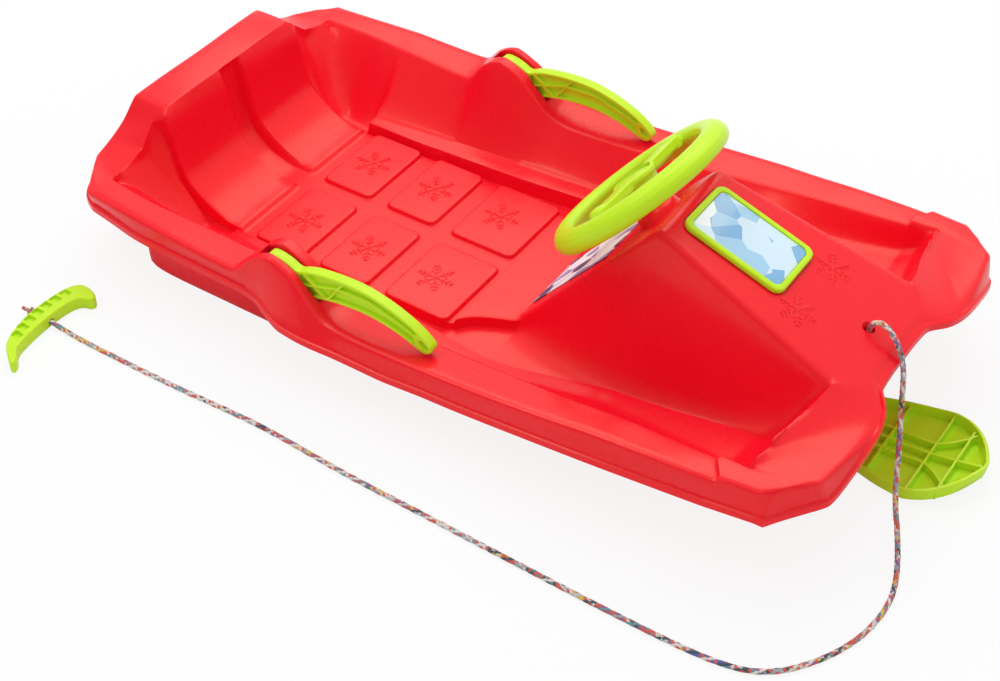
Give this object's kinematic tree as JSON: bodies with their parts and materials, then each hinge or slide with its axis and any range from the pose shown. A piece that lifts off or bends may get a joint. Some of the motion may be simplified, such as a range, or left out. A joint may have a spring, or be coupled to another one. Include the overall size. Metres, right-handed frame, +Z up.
{
  "type": "steerable plastic snow sled",
  "caption": "Moulded plastic child's sled with a padded seat well, steering wheel on a raised console, small front ski, hand brake levers and a tow rope with a grip.",
  "frame": {"origin": "on the ground under the middle of the sled and its ski, without the rope and its grip", "axes": "+X towards the nose, +Y to the rider's left, +Z up"},
  "size_m": [1.111, 0.7398, 0.3052],
  "materials": {
    "hull": "satin moulded plastic",
    "lime_plastic": "satin moulded plastic",
    "black_plastic": "matt",
    "badge_print": "printed and glossy",
    "decal_print": "printed film",
    "steel": "zinc plated",
    "rope": "braided, many-coloured"
  },
  "bodies": {
    "sled": {"hull": "hull", "badge_frame": "lime_plastic", "badge_plate": "badge_print", "console_decal": "decal_print", "upper_bush": "black_plastic", "lower_bush": "black_plastic", "tow_rope": "rope", "rope_knot_nose": "rope", "rope_knot_grip": "rope", "tow_handle": "lime_plastic"},
    "steering": {"steering_wheel": "lime_plastic", "wheel_cap": "lime_plastic", "wheel_washer": "steel", "wheel_nut": "steel", "steering_rod": "steel", "ski": "lime_plastic", "ski_pin": "steel"},
    "brake_left": {"brake_lever_left": "lime_plastic", "brake_claw_left": "steel", "brake_rivet_front_left": "steel", "brake_rivet_rear_left": "steel"},
    "brake_right": {"brake_lever_right": "lime_plastic", "brake_claw_right": "steel", "brake_rivet_front_right": "steel", "brake_rivet_rear_right": "steel"}
  },
  "joints": [
    {"name": "steering_turn", "type": "hinge", "parent": "sled", "child": "steering", "pos_m": [0.1107, 0, 0.2209], "axis": [-0.7133, 0, 0.7009], "range_deg": [-20, 20]},
    {"name": "brake_pull_left", "type": "hinge", "parent": "sled", "child": "brake_left", "pos_m": [-0.213, 0.237, 0.121], "axis": [0, -1, 0], "range_deg": [0, 38]},
    {"name": "brake_pull_right", "type": "hinge", "parent": "sled", "child": "brake_right", "pos_m": [-0.213, -0.237, 0.121], "axis": [0, -1, 0], "range_deg": [0, 38]}
  ]
}
